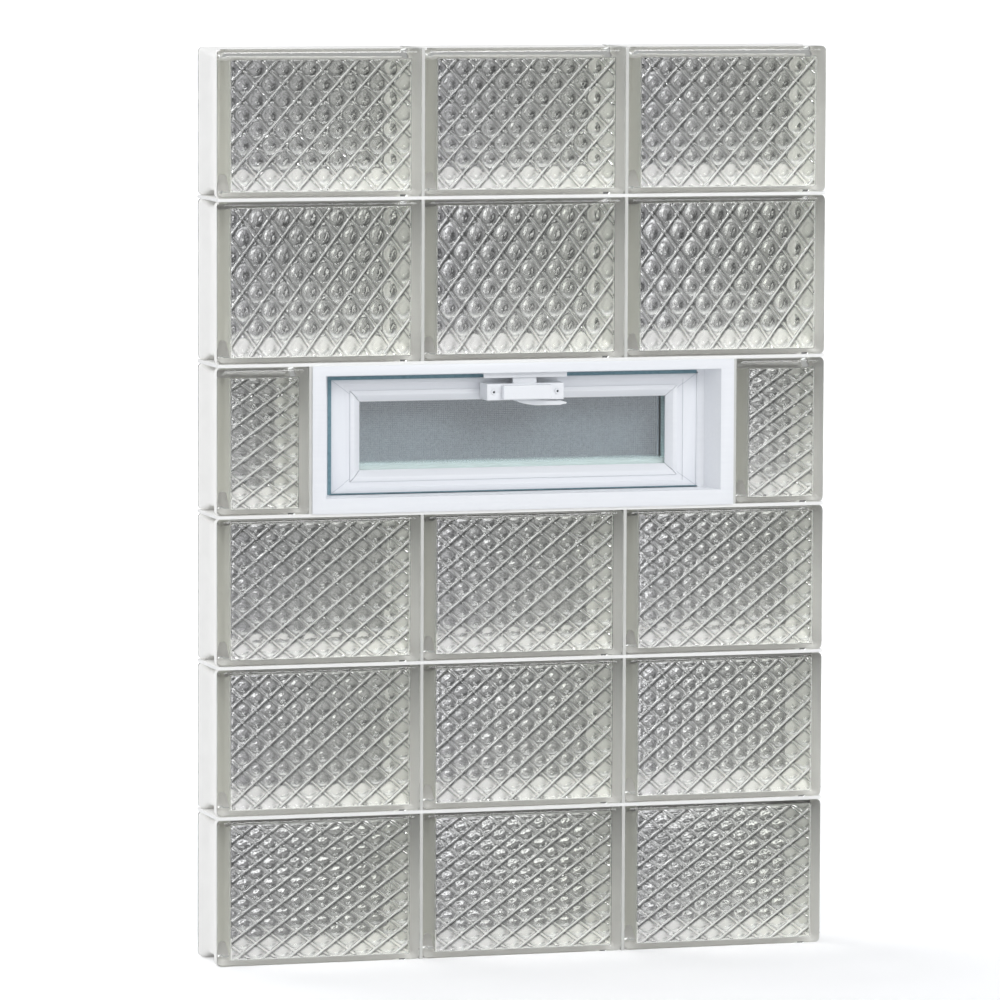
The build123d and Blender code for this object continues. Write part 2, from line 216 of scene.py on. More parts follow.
# The edge, from the face backwards: a rim and corners that are rounded, the bare and then
# the painted part of the lip, and the slope down to the channel that keys the joint
corner_radius = 0.0042
rim_radius = 0.0038
bare_lip = 0.006
lip_depth = 0.015
key_slope = 0.008
key_depth = 0.005

# The pane's borders, whose top one differs from course to course, and the hollow behind it,
# which narrows to its waist at the seam. The walls show as the light strips of the pane
face_thickness = 0.008
hollow_radius = 0.0012
left_border, right_border, bottom_border = 0.014, 0.010, 0.0065
top_borders = {6: 0.0105, 5: 0.0065, 4: 0.0105, 3: 0.0055, 2: 0.0055, 1: 0.0055}
left_waist, right_waist = 0.0115, 0.0165
bottom_waist, top_waist = 0.021, 0.008

# The pressed pattern: cells between slanting ridges, as high as each course has them, and a
# boss in each cell that is lower in the lower cells
cell_width = 0.0256
cell_heights = {6: 0.0282, 5: 0.0341, 4: 0.0185, 3: 0.0207, 2: 0.0222, 1: 0.0186}
boss_reach = 0.48
boss_height = 0.0017
ridge_half = 0.0018
ridge_height = 0.0013
ridge_steps = 6
step_size = 0.00195
pattern_right, pattern_up = 0.0042, 0.008


def band(value, middle, half, top):
    """Rises to the top at the middle and falls to nothing on both sides of it."""
    return max(0.0, top - abs(value - middle) / half)


def relief(x, z, cell_x, cell_z):
    """Height of the pressed pattern, and how much painted shade and painted highlight are there.
    """
    across = x / cell_x + z / cell_z
    along = x / cell_x - z / cell_z
    pitch = 1 / hypot(1 / cell_x, 1 / cell_z)
    falling = (across - round(across)) * pitch / ridge_half
    rising = (along - round(along)) * pitch / ridge_half
    dx = (across % 1) + (along % 1) - 1
    dz = (across % 1) - (along % 1)
    radius = hypot(dx, dz) / boss_reach
    height = boss_height * (cell_z / cell_heights[6]) ** 1.5 * max(0.0, 1 - radius ** 2)
    for ridge in (falling, rising):
        height = max(height, ridge_height * max(0.0, 1 - ridge ** 2))

    # Painted shade: a boss is darkened round its foot, mostly at the lower right, and a ridge
    # along its sides, though less so towards the pane's lower right corner, where the painted
    # highlights are brighter
    to_corner = min(1.0, max(0.0, 0.35 + 3.4 * x - 4.2 * z))
    lower_right = max(0.0, (dx - dz) / (hypot(dx, dz) + 1e-9) / sqrt(2))
    dark = band(radius, middle=0.85, half=0.32, top=1.15) * (0.12 + 0.85 * lower_right)
    both_sides = band(abs(falling), middle=0.9, half=0.55, top=1.1)
    dark = max(dark, (1.0 - 0.45 * to_corner) * both_sides)
    dark = max(dark, band(rising, middle=0.95, half=0.65, top=1.3))

    # Painted highlights: rising ridges are white on top, and bosses in the lower half under
    # their foot
    painted_crest_highlight = to_corner * min(1.0, band(rising, middle=-0.15, half=0.45, top=1.4))
    under = max(0.0, -dz / (hypot(dx, dz) + 1e-9)) * band(radius, middle=0.95, half=0.3, top=1)
    painted_crest_highlight = max(painted_crest_highlight, min(1.0, max(0.0, -18 * z)) * under)
    return height, min(1.0, dark), painted_crest_highlight


def lattice_step(count, steps, ridge_share):
    """Position, in cells, of a grid line: close together over a ridge, wider between."""
    cell, step = divmod(count, steps)
    step -= ridge_steps / 2
    if step <= ridge_steps / 2:
        return cell + step / ridge_steps * ridge_share
    rest = (step - ridge_steps / 2) / (steps - ridge_steps)
    return cell + ridge_share / 2 + rest * (1 - ridge_share)


def loop_outwards(bm, edges, place_vertex, material):
    """Extrudes a boundary loop once, places its new vertices and returns the new loop."""
    ring = bmesh.ops.extrude_edge_only(bm, edges=edges)["geom"]
    for item in ring:
        if isinstance(item, bmesh.types.BMVert):
            item.co = place_vertex(item.co)
        elif isinstance(item, bmesh.types.BMFace):
            item.material_index = material
    return [e for e in ring if isinstance(e, bmesh.types.BMEdge) and e.is_boundary]


def outer_skin(width, height, front):
    """Half of a block's outside: face, rounded rim, lip, slope and keyed channel."""
    skin = bmesh.new()
    bmesh.ops.create_grid(skin, x_segments=1, y_segments=1, size=0.5)
    face_size = (width - 2 * rim_radius, height - 2 * rim_radius)
    bmesh.ops.scale(skin, vec=(*face_size, 1), verts=skin.verts)
    bmesh.ops.bevel(
        skin, geom=skin.verts[:], offset=corner_radius, segments=6, profile=0.5,
        affect="VERTICES", material=-1,
    )
    bmesh.ops.rotate(
        skin, cent=(0, 0, 0), matrix=Matrix.Rotation(radians(90), 3, "X"), verts=skin.verts,
    )
    bmesh.ops.translate(skin, vec=(0, front, 0), verts=skin.verts)
    # Each step says how far the skin runs outside the face and behind it, and its material
    profile = [
        (rim_radius * cos(radians(a)), rim_radius * (1 - sin(radians(a))), clear_part)
        for a in (67.5, 45, 22.5, 0)
    ]
    profile += [
        (rim_radius, bare_lip, bare_part),
        (rim_radius, lip_depth, painted_part),
        (rim_radius - key_depth, lip_depth + key_slope, painted_part),
        (rim_radius - key_depth, -front, painted_part),
    ]
    edges, grown = skin.edges[:], 0.0
    for grow, back, material in profile:
        scale = [(size + 2 * grow) / (size + 2 * grown) for size in face_size]
        edges = loop_outwards(
            skin, edges, lambda co: Vector((co.x * scale[0], front + back, co.z * scale[1])),
            material,
        )
        grown = grow
    return skin


def inner_skin(width, height, front, course):
    """Half of a block's hollow: the pressed pane, a rounded corner and the draft wall."""
    skin = bmesh.new()
    # Layers for the relief's painted shade and painted highlight, and how far across it a vertex
    # is
    painted_shade_layer = skin.verts.layers.float.new("painted_crease_shade")
    across_layer = skin.verts.layers.float.new("across")
    painted_highlight_layer = skin.verts.layers.float.new("painted_crest_highlight")
    cell_x, cell_z = cell_width, cell_heights[course]
    outline = [
        left_border - width / 2, width / 2 - right_border,
        bottom_border - height / 2, height / 2 - top_borders[course],
    ]
    reach = 2 + int(width / 2 / cell_x + height / 2 / cell_z)
    pitch = 1 / hypot(1 / cell_x, 1 / cell_z)
    steps = ridge_steps + round((pitch - 2 * ridge_half) / step_size)
    count = 2 * reach * steps
    bmesh.ops.create_grid(skin, x_segments=count, y_segments=count, size=count / 2)
    for v in skin.verts:
        across, along = (
            lattice_step(round(c + count / 2), steps, 2 * ridge_half / pitch) - reach
            for c in (v.co.x, v.co.y)
        )
        x, z = (across + along) / 2 * cell_x, (across - along) / 2 * cell_z
        # Each vertex takes the relief's height, its painted shade and its painted highlight
        rise, v[painted_shade_layer], v[painted_highlight_layer] = relief(x, z, cell_x, cell_z)
        v.co = Vector((
            x + pattern_right - cell_x / 2, front + face_thickness + rise, z + pattern_up,
        ))

    # Upright and level planes cut the sheet to the pane, and slanting ones round its corners
    middle = Vector(((outline[0] + outline[1]) / 2, 0, (outline[2] + outline[3]) / 2))
    rounding = Vector((hollow_radius, 0, hollow_radius))
    corner = Vector((outline[1], 0, outline[3])) - middle - rounding
    turns = 16
    for turn in range(turns):
        outward = Matrix.Rotation(radians(360 / turns * turn), 3, "Y") @ Vector((1, 0, 0))
        side = Vector([
            c * (1 if n > 1e-6 else -1 if n < -1e-6 else 0) for c, n in zip(corner, outward)
        ])
        bmesh.ops.bisect_plane(
            skin, geom=skin.verts[:] + skin.edges[:] + skin.faces[:], dist=1e-6,
            plane_co=middle + side + outward * hollow_radius, plane_no=outward, clear_outer=True,
        )
    for v in skin.verts:
        v[across_layer] = 0.5 + v.co.x / width
        if v.is_boundary:
            v.co.y = front + face_thickness
            v[painted_shade_layer] = v[painted_highlight_layer] = 0.0
    for f in skin.faces:
        f.material_index = relief_part
    edges = [e for e in skin.edges if e.is_boundary]

    # Each step of the walls says its outline, how far behind the face it is, and its material
    walls = []
    for a in (45, 90):
        grow, back = hollow_radius * sin(radians(a)), hollow_radius * (1 - cos(radians(a)))
        rounded = [c + grow * sign for c, sign in zip(outline, (-1, 1, -1, 1))]
        walls.append((rounded, face_thickness + back, clear_part))
    waist = [
        left_waist - width / 2, width / 2 - right_waist,
        bottom_waist - height / 2, height / 2 - max(top_waist, top_borders[course]),
    ]
    walls += [(waist, lip_depth + key_slope, frosted_part), (waist, -front, frosted_part)]
    for wall, back, material in walls:
        def moved(co):
            share_x = (co.x - outline[0]) / (outline[1] - outline[0])
            share_z = (co.z - outline[2]) / (outline[3] - outline[2])
            return Vector((
                wall[0] + share_x * (wall[1] - wall[0]), front + back,
                wall[2] + share_z * (wall[3] - wall[2]),
            ))
        edges = loop_outwards(skin, edges, moved, material)
        outline = wall

    # Walls that look up or down are painted, and the upright ones stay frosted
    for f in skin.faces:
        f.normal_update()
        if f.material_index == frosted_part and abs(f.normal.z) > abs(f.normal.x):
            f.material_index = painted_part
    return skin


def block_mesh(width, height, depth, course):
    """One block about its own middle, both halves joined at the seam."""
    whole = bmesh.new()
    for layer in ("painted_crease_shade", "across", "painted_crest_highlight"):
        whole.verts.layers.float.new(layer)
    for skin, inside in ((outer_skin(width, height, -depth / 2), False),
                         (inner_skin(width, height, -depth / 2, course), True)):
        bmesh.ops.mirror(
            skin, geom=skin.verts[:] + skin.edges[:] + skin.faces[:], axis="Y", merge_dist=1e-6,
        )
        bmesh.ops.remove_doubles(skin, verts=skin.verts, dist=1e-6)
        bmesh.ops.recalc_face_normals(skin, faces=skin.faces)
        if inside:
            bmesh.ops.reverse_faces(skin, faces=skin.faces)
        for f in skin.faces:
            f.smooth = True
        carrier = bpy.data.meshes.new("block skin")
        skin.to_mesh(carrier)
        skin.free()
        whole.from_mesh(carrier)
        bpy.data.meshes.remove(carrier)
    mesh = bpy.data.meshes.new("glass block")
    whole.to_mesh(mesh)
    whole.free()
    for material in block_materials:
        mesh.materials.append(material)
    mesh.set_sharp_from_angle(angle=radians(50))
    return mesh


block_kinds = {}
for name in sorted(n for n in nodes if n.startswith("block_course")):
    low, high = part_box(name)
    width, depth, height = (high[i] - low[i] for i in range(3))
    course = int(name[len("block_course")])
    kind = (round(width, 4), course)
    if kind not in block_kinds:
        block_kinds[kind] = block_mesh(width, height, depth, course)
    mesh = block_kinds[kind].copy()
    mesh.transform(Matrix.Translation([(a + b) / 2 for a, b in zip(low, high)]))
    block = bpy.data.objects.new(name.replace("block_", "glass_"), mesh)
    bpy.context.scene.collection.objects.link(block)
    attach(block, "root")
    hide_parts(name)
for mesh in block_kinds.values():
    bpy.data.meshes.remove(mesh)


# Silicone joints
# White neutral-cure silicone beds the courses, and clear silicone butts the blocks of a
# course. Both are gunned into the joint and tooled a little below the glass.

# White silicone is smooth and slightly glossy, with a shallow waviness about 29 mm long from
# the tooling. It lets seven tenths of the lamp light through, so the hollows aren't dark
bed_silicone, tree = new_material("white silicone")
place = add_node(tree, "ShaderNodeTexCoord")
tooling = add_node(tree, "ShaderNodeTexNoise", {"Scale": 35.0, "Detail": 2.0}, {
    "Vector": place.outputs["Object"],
})
bump = add_node(tree, "ShaderNodeBump", {"Strength": 0.25, "Distance": 0.0006}, {
    "Height": tooling.outputs["Fac"],
})
shade = add_node(tree, "ShaderNodeValToRGB", links={"Fac": tooling.outputs["Fac"]})
shade.color_ramp.elements[0].color = linear("#ECECEA")
shade.color_ramp.elements[1].color = linear("#F8F8F6")
sealant = add_node(tree, "ShaderNodeBsdfPrincipled", {"Roughness": 0.4}, {
    "Base Color": shade.outputs[0], "Normal": bump.outputs["Normal"],
})
finish_material(tree, let_lamps_in(tree, sealant.outputs[0], share=0.7))

# Clear silicone looks like grey milk, clouded over about 29 mm: light goes some way in and
# comes out softened, and lamp light goes through
joint_silicone, tree = new_material("clear silicone")
place = add_node(tree, "ShaderNodeTexCoord")
cloud = add_node(tree, "ShaderNodeTexNoise", {"Scale": 35.0, "Detail": 2.0}, {
    "Vector": place.outputs["Object"],
})
shade = add_node(tree, "ShaderNodeValToRGB", links={"Fac": cloud.outputs["Fac"]})
shade.color_ramp.elements[0].color = linear("#C4C5C1")
shade.color_ramp.elements[1].color = linear("#D9D9D5")
bump = add_node(tree, "ShaderNodeBump", {"Strength": 0.25, "Distance": 0.0006}, {
    "Height": cloud.outputs["Fac"],
})
sealant = add_node(tree, "ShaderNodeBsdfPrincipled", {"Roughness": 0.35, "IOR": 1.41}, {
    "Base Color": shade.outputs[0], "Normal": bump.outputs["Normal"],
})
finish_material(tree, let_lamps_in(tree, sealant.outputs[0]))

for name in (n for n in nodes if n.startswith("silicone")):
    nodes[name].data.materials.clear()
    nodes[name].data.materials.append(bed_silicone if "bed" in name else joint_silicone)


# Vent frame
# A welded frame of white unplasticised PVC extrusion, bedded in the silicone in place of
# the middle block. Its reveal is splayed towards the sash.

def soft_edged_copy(name, radius):
    """A merged copy of a CAD node with its hard edges rounded, standing in for the node."""
    bm = bmesh.new()
    bm.from_mesh(nodes[name].data)
    bmesh.ops.remove_doubles(bm, verts=bm.verts, dist=1e-6)
    bmesh.ops.dissolve_limit(
        bm, angle_limit=radians(1), use_dissolve_boundaries=False, verts=bm.verts, edges=bm.edges,
        delimit=set(),
    )
    hard = [e for e in bm.edges if e.is_manifold and e.calc_face_angle() > radians(12)]
    bmesh.ops.bevel(
        bm, geom=hard, offset=radius, offset_type="OFFSET", segments=2, profile=0.5,
        affect="EDGES", material=-1, clamp_overlap=True, loop_slide=True,
    )
    for f in bm.faces:
        f.smooth = True
    mesh = bpy.data.meshes.new(f"{name} rounded")
    bm.to_mesh(mesh)
    bm.free()
    mesh.set_sharp_from_angle(angle=radians(40))
    piece = bpy.data.objects.new(f"{name}_rounded", mesh)
    bpy.context.scene.collection.objects.link(piece)
    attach(piece, "root")
    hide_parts(name)
    return piece


# Extruded PVC has a satin skin with faint die lines under 1 mm apart, drawn 3 mm apart here
# so that they show
white_pvc, tree = new_material("extruded white PVC")
place = add_node(tree, "ShaderNodeTexCoord")
along_die = add_node(tree, "ShaderNodeMapping", {"Scale": (4.0, 330.0, 330.0)}, {
    "Vector": place.outputs["Object"],
})
die_lines = add_node(tree, "ShaderNodeTexNoise", {"Scale": 1.0, "Detail": 2.0}, {
    "Vector": along_die.outputs[0],
})
bump = add_node(tree, "ShaderNodeBump", {"Strength": 0.06, "Distance": 0.0005}, {
    "Height": die_lines.outputs["Fac"],
})
shade = add_node(tree, "ShaderNodeValToRGB", links={"Fac": die_lines.outputs["Fac"]})
shade.color_ramp.elements[0].color = linear("#E8EAEE")
shade.color_ramp.elements[1].color = linear("#EEF0F3")
pvc = add_node(tree, "ShaderNodeBsdfPrincipled", {"Roughness": 0.38}, {
    "Base Color": shade.outputs[0], "Normal": bump.outputs["Normal"],
})
finish_material(tree, pvc.outputs[0])
soft_edged_copy("vent_frame", radius=0.0005).data.materials.append(white_pvc)


# Sash and glazing beads
# The sash is welded from the same white PVC, so a fine seam runs across each corner. Four
# beads with mitred ends snap in round the sealed unit.

# The weld seam is a scraped line 1 mm wide, from each corner of the sash to the glass
low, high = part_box("sash_frame")
glass_top, glass_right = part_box("glazing_bead_top")[0][2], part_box("glazing_bead_right")[0][0]
seam_slope = (high[0] - glass_right) / (high[2] - glass_top)
seam_start = (high[0] - low[0] - seam_slope * (high[2] - low[2])) / 2
sash_middle = [(a + b) / 2 for a, b in zip(low, high)]
sash_pvc, tree = new_material("welded white PVC")
place = add_node(tree, "ShaderNodeTexCoord")
centred = add_node(tree, "ShaderNodeMapping", {
    "Location": (-sash_middle[0], 0, -sash_middle[2]),
}, {"Vector": place.outputs["Object"]})
split = add_node(tree, "ShaderNodeSeparateXYZ", links={0: centred.outputs[0]})
inset_x = add_node(tree, "ShaderNodeMath", {"operation": "ABSOLUTE"}, {0: split.outputs["X"]})
inset_z = add_node(tree, "ShaderNodeMath", {"operation": "ABSOLUTE"}, {0: split.outputs["Z"]})
sloped = add_node(tree, "ShaderNodeMath", {"operation": "MULTIPLY", 1: seam_slope}, {
    0: inset_z.outputs[0],
})
off_seam = add_node(tree, "ShaderNodeMath", {"operation": "SUBTRACT"}, {
    0: inset_x.outputs[0], 1: sloped.outputs[0],
})
off_seam = add_node(tree, "ShaderNodeMath", {"operation": "SUBTRACT", 1: seam_start}, {
    0: off_seam.outputs[0],
})
off_seam = add_node(tree, "ShaderNodeMath", {"operation": "ABSOLUTE"}, {0: off_seam.outputs[0]})
seam = add_node(tree, "ShaderNodeMapRange", {1: 0.0003, 2: 0.0007, 3: 1.0, 4: 0.0}, {
    0: off_seam.outputs[0],
})
shade = add_node(tree, "ShaderNodeMixRGB", {
    "Color1": linear("#EBEDF1"), "Color2": linear("#CDD1D7"),
}, {"Fac": seam.outputs[0]})
bump = add_node(tree, "ShaderNodeBump", {"Strength": 0.4, "Distance": 0.0003, "invert": True}, {
    "Height": seam.outputs[0],
})
pvc = add_node(tree, "ShaderNodeBsdfPrincipled", {"Roughness": 0.38}, {
    "Base Color": shade.outputs[0], "Normal": bump.outputs["Normal"],
})
finish_material(tree, pvc.outputs[0])
soft_edged_copy("sash_frame", radius=0.0005).data.materials.append(sash_pvc)
for side in ("top", "bottom", "left", "right"):
    soft_edged_copy(f"glazing_bead_{side}", radius=0.0004).data.materials.append(white_pvc)

# Zinc plated steel pins are dull grey with a crystal grain of about 1 mm
zinc_steel, tree = new_material("zinc plated steel")
place = add_node(tree, "ShaderNodeTexCoord")
grain = add_node(tree, "ShaderNodeTexNoise", {"Scale": 900.0, "Detail": 2.0}, {
    "Vector": place.outputs["Object"],
})
rough = add_node(tree, "ShaderNodeMapRange", {3: 0.28, 4: 0.45}, {0: grain.outputs["Fac"]})
steel = add_node(tree, "ShaderNodeBsdfPrincipled", {
    "Base Color": linear("#C4C6C8"), "Metallic": 1.0,
}, {"Roughness": rough.outputs[0]})
finish_material(tree, steel.outputs[0])

# Seal rubber is matt light grey with a skin from the die, uneven over about 1.4 mm
seal_rubber, tree = new_material("extruded seal rubber")
place = add_node(tree, "ShaderNodeTexCoord")
skin = add_node(tree, "ShaderNodeTexNoise", {"Scale": 700.0, "Detail": 2.0}, {
    "Vector": place.outputs["Object"],
})
bump = add_node(tree, "ShaderNodeBump", {"Strength": 0.3, "Distance": 0.0002}, {
    "Height": skin.outputs["Fac"],
})
rubber = add_node(tree, "ShaderNodeBsdfPrincipled", {
    "Base Color": linear("#C9CED2"), "Roughness": 0.75,
}, {"Normal": bump.outputs["Normal"]})
finish_material(tree, rubber.outputs[0])

# A blue grey lip is pressed into the gap round the sash. Its blue grey is painted shadow: it
# is broad under the head and beside the left jamb, where the shade shows as a dark line, and
# white beside the right jamb. Dust mottles it over 3 mm
lip_rubber_painted_shadow, tree = new_material("blue grey lip rubber")
place = add_node(tree, "ShaderNodeTexCoord")
skin = add_node(tree, "ShaderNodeTexNoise", {"Scale": 300.0, "Detail": 2.0}, {
    "Vector": place.outputs["Object"],
})
shade = add_node(tree, "ShaderNodeValToRGB", links={"Fac": skin.outputs["Fac"]})
shade.color_ramp.elements[0].color = linear("#53747F")
shade.color_ramp.elements[1].color = linear("#7B9AA4")
rubber = add_node(tree, "ShaderNodeBsdfPrincipled", {"Roughness": 0.7}, {
    "Base Color": shade.outputs[0],
})
finish_material(tree, rubber.outputs[0])
sash_low, sash_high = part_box("sash_frame")
lip = bmesh.new()
lip_proud, lip_reach, lip_play = 0.0009, 0.004, 0.0001
head_lip, left_lip, slim_lip, sill_lip = 0.0032, 0.0035, 0.0012, 0.0009
lip_front, lip_back = sash_low[1] - lip_proud, sash_low[1] + lip_reach
# The grey part carries the painted shadow, and the white part is the frame's white
shadow_grey_part, white_part = 0, 1
for x_range, z_range, finish in (
    ((sash_low[0] - left_lip, sash_high[0]),
     (sash_high[2] + lip_play, sash_high[2] + head_lip), shadow_grey_part),
    ((sash_low[0] - left_lip, sash_low[0] - lip_play),
     (sash_low[2] - sill_lip, sash_high[2] + lip_play), shadow_grey_part),
    ((sash_low[0] - lip_play, sash_high[0] + slim_lip),
     (sash_low[2] - sill_lip, sash_low[2] - lip_play), shadow_grey_part),
    ((sash_high[0] + lip_play, sash_high[0] + slim_lip),
     (sash_low[2] - lip_play, sash_high[2]), white_part),
):
    bar = bmesh.ops.create_cube(lip, size=1.0)["verts"]
    for f in {f for v in bar for f in v.link_faces}:
        f.material_index = finish
    ranges = (x_range, (lip_front, lip_back), z_range)
    bmesh.ops.scale(lip, vec=[b - a for a, b in ranges], verts=bar)
    bmesh.ops.translate(lip, vec=[(a + b) / 2 for a, b in ranges], verts=bar)
bmesh.ops.bevel(
    lip, geom=lip.edges[:], offset=0.0003, segments=2, profile=0.5, affect="EDGES", material=-1,
    clamp_overlap=True,
)
lip_mesh = bpy.data.meshes.new("sash seal lip")
lip.to_mesh(lip_mesh)
lip.free()
lip_mesh.materials.append(lip_rubber_painted_shadow)
lip_mesh.materials.append(white_pvc)
lip_piece = bpy.data.objects.new("sash_seal_lip_painted_shadow", lip_mesh)
bpy.context.scene.collection.objects.link(lip_piece)
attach(lip_piece, "root")

for name, material in (
    ("pivot_pin_left", zinc_steel), ("pivot_pin_right", zinc_steel),
    ("weather_seal", seal_rubber), ("glazing_gasket", seal_rubber),
):
    nodes[name].data.materials.clear()
    nodes[name].data.materials.append(material)


# Sealed unit
# Two panes of clear float glass on an aluminium spacer filled with drying beads, set in
# the sash against its back leg.

# Float glass has a faint cool body colour and no texture but a very slow wave, 110 mm long,
# and a pale painted reflection of the sill that fades out 7 mm up from its bottom edge
window_glass, tree = new_material("clear float glass")
place = add_node(tree, "ShaderNodeTexCoord")
wave = add_node(tree, "ShaderNodeTexNoise", {"Scale": 9.0, "Detail": 0.0}, {
    "Vector": place.outputs["Object"],
})
bump = add_node(tree, "ShaderNodeBump", {"Strength": 0.02, "Distance": 0.002}, {
    "Height": wave.outputs["Fac"],
})
glass = add_node(tree, "ShaderNodeBsdfPrincipled", {
    "Base Color": linear("#F1F5F7"), "Roughness": 0.0, "IOR": 1.52, "Transmission Weight": 1.0,
}, {"Normal": bump.outputs["Normal"]})
split = add_node(tree, "ShaderNodeSeparateXYZ", links={0: place.outputs["Object"]})
sill_line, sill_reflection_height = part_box("glazing_bead_bottom")[1][2], 0.007
# Painted reflection of the sill, three quarters strong at the sill line
near_sill = add_node(tree, "ShaderNodeMapRange", {
    1: sill_line, 2: sill_line + sill_reflection_height, 3: 0.75, 4: 0.0,
}, {0: split.outputs["Z"]})
painted_sill_reflection = add_node(tree, "ShaderNodeBsdfDiffuse", {"Color": linear("#E4F0EE")})
with_sill_reflection = add_node(tree, "ShaderNodeMixShader", links={
    0: near_sill.outputs[0], 1: glass.outputs[0], 2: painted_sill_reflection.outputs[0],
})
finish_material(tree, let_lamps_in(tree, with_sill_reflection.outputs[0], tint="#F2F6F5"))

# Mill finish aluminium with a row of breather holes 3 mm apart, teal from the glass edge
spacer_metal, tree = new_material("perforated aluminium spacer")
place = add_node(tree, "ShaderNodeTexCoord")
holes = add_node(tree, "ShaderNodeTexVoronoi", {"Scale": 330.0, "Randomness": 0.0}, {
    "Vector": place.outputs["Object"],
})
hole = add_node(tree, "ShaderNodeMapRange", {1: 0.18, 2: 0.28, 3: 1.0, 4: 0.0}, {
    0: holes.outputs["Distance"],
})
shade = add_node(tree, "ShaderNodeMixRGB", {
    "Color1": linear("#DCEDEC"), "Color2": linear("#A6C2C3"),
}, {"Fac": hole.outputs[0]})
metal = add_node(tree, "ShaderNodeBsdfPrincipled", {"Roughness": 0.5, "Metallic": 0.1}, {
    "Base Color": shade.outputs[0],
})
finish_material(tree, metal.outputs[0])
for name, material in (
    ("inner_pane", window_glass), ("outer_pane", window_glass), ("pane_spacer", spacer_metal),
):
    nodes[name].data.materials.clear()
    nodes[name].data.materials.append(material)


# Latch
# A white moulded case on the sash's top rail with a cover, a sliding tongue behind the
# keeper, two screws through its ears and a lever paddle swung to the right.

# Moulded acetal is white and a little glossier than the extrusions, with the spark texture
# of its mould, about 0.8 mm across
white_acetal, tree = new_material("moulded white acetal")
place = add_node(tree, "ShaderNodeTexCoord")
spark = add_node(tree, "ShaderNodeTexNoise", {"Scale": 1200.0, "Detail": 2.0}, {
    "Vector": place.outputs["Object"],
})
bump = add_node(tree, "ShaderNodeBump", {"Strength": 0.1, "Distance": 0.0001}, {
    "Height": spark.outputs["Fac"],
})
shade = add_node(tree, "ShaderNodeValToRGB", links={"Fac": spark.outputs["Fac"]})
shade.color_ramp.elements[0].color = linear("#E9EBEE")
shade.color_ramp.elements[1].color = linear("#EFF1F4")
acetal = add_node(tree, "ShaderNodeBsdfPrincipled", {"Roughness": 0.3}, {
    "Base Color": shade.outputs[0], "Normal": bump.outputs["Normal"],
})
finish_material(tree, acetal.outputs[0])
for name in ("latch_base", "latch_cover", "latch_tongue", "latch_keeper"):
    soft_edged_copy(name, radius=0.0003).data.materials.append(white_acetal)

# The lever is thin at its tip on the left, sweeps down and ends in a rounded thumb end
low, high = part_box("latch_lever")
lever_length, lever_width, lever_droop, lever_round = 0.0485, 0.013, 0.0011, 0.0017
tip_thickness, under_base, thumb_drop = 0.0014, 0.0004, 0.0026
thumb_start, thumb_end_share = 0.86, 0.08
droop_rate, sweep_rate, sweep_curve = 1.4, 2.6, 0.6
lever_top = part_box("latch_base")[0][2] - under_base
lever_low = low[2]
lever = bmesh.new()
bmesh.ops.create_cube(lever, size=1.0)
bmesh.ops.scale(lever, vec=(lever_length, lever_width, 1), verts=lever.verts)
long_edges = [e for e in lever.edges if abs(e.verts[0].co.x - e.verts[1].co.x) > 0.01]
bmesh.ops.subdivide_edges(lever, edges=long_edges, cuts=15, use_grid_fill=True)
for v in lever.verts:
    along = max(0.0, v.co.x / lever_length + 0.5)
    if v.co.z > 0:
        v.co.z = lever_top - lever_droop * min(1.0, along * droop_rate) ** 2
    else:
        tip_z = lever_top - tip_thickness
        v.co.z = tip_z - (tip_z - lever_low) * min(1.0, along * sweep_rate) ** sweep_curve
    past_thumb = max(0.0, along - thumb_start) / (1 - thumb_start)
    middle_z = lever_top - lever_droop - thumb_drop
    v.co.z = middle_z + (v.co.z - middle_z) * sqrt(max(thumb_end_share, 1 - past_thumb ** 2))
    v.co.y += (low[1] + high[1]) / 2
    v.co.x += low[0] + lever_length / 2
hard = [e for e in lever.edges if e.calc_face_angle() > radians(50)]
bmesh.ops.bevel(
    lever, geom=hard, offset=lever_round, segments=4, profile=0.5, affect="EDGES", material=-1,
    clamp_overlap=True,
)
for f in lever.faces:
    f.smooth = True
lever_mesh = bpy.data.meshes.new("latch lever paddle")
lever.to_mesh(lever_mesh)
lever.free()
lever_mesh.materials.append(white_acetal)
lever_piece = bpy.data.objects.new("latch_lever_paddle", lever_mesh)
bpy.context.scene.collection.objects.link(lever_piece)
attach(lever_piece, "root")
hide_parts("latch_lever")

# The drive recess of a screw holds shadow and specks of dirt of half a millimetre
recess_dark, tree = new_material("screw drive recess")
place = add_node(tree, "ShaderNodeTexCoord")
dirt = add_node(tree, "ShaderNodeTexNoise", {"Scale": 2000.0}, {"Vector": place.outputs["Object"]})
shade = add_node(tree, "ShaderNodeValToRGB", links={"Fac": dirt.outputs["Fac"]})
shade.color_ramp.elements[0].color = linear("#2A2C2E")
shade.color_ramp.elements[1].color = linear("#45484A")
recess = add_node(tree, "ShaderNodeBsdfPrincipled", {"Roughness": 0.6}, {
    "Base Color": shade.outputs[0],
})
finish_material(tree, recess.outputs[0])

